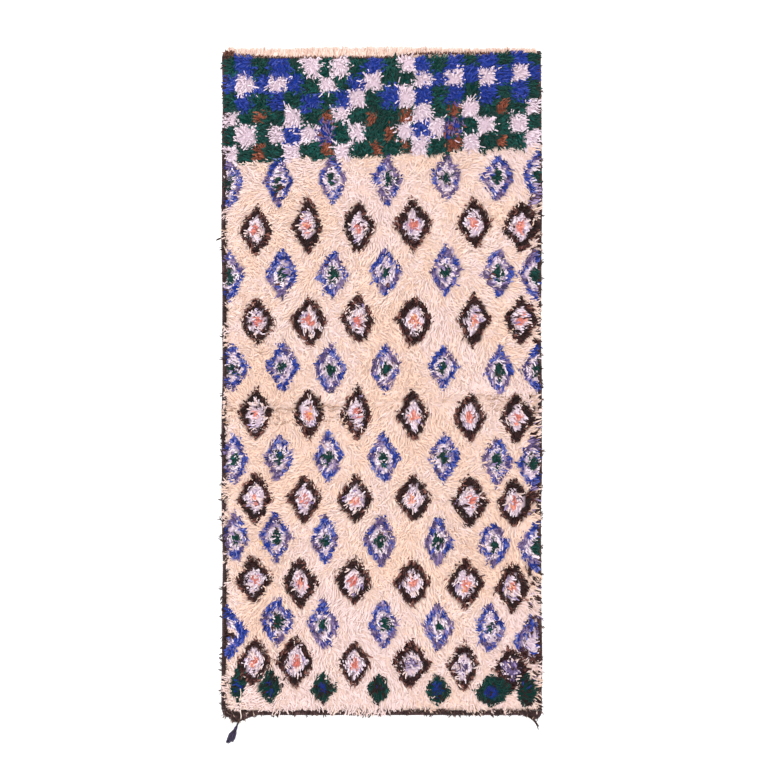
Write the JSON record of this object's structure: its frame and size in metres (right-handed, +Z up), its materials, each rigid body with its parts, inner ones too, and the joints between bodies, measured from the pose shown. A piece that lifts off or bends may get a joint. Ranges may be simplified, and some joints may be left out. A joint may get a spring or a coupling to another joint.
{
  "type": "berber shag rug",
  "caption": "Long hand-knotted wool shag rug lying flat, with overcast side edges, a fringed flat-woven heading at one end and a small yarn tassel at a corner",
  "frame": {"origin": "on the underside, at the middle of the rug over its selvedges, heading and end band, on the floor", "axes": "+X across the rug to the right seen from above with the heading away from the viewer, +Y along the rug towards the heading, +Z up from the floor through the pile"},
  "size_m": [1.1532, 2.4395, 0.0296],
  "materials": {
    "pile_wool": "matte wool pile, about 30 mm long, lying down",
    "binding_wool": "matte overcast dark brown wool",
    "heading_cotton": "matte flat-woven cream yarn with a cut fringe",
    "tassel_wool": "matte aubergine wool strands"
  },
  "bodies": {
    "root": {"pile_field": "pile_wool", "selvedge_left": "binding_wool", "selvedge_right": "binding_wool", "heading_fringe": "heading_cotton", "end_band": "binding_wool", "corner_tassel": "tassel_wool"}
  },
  "joints": []
}
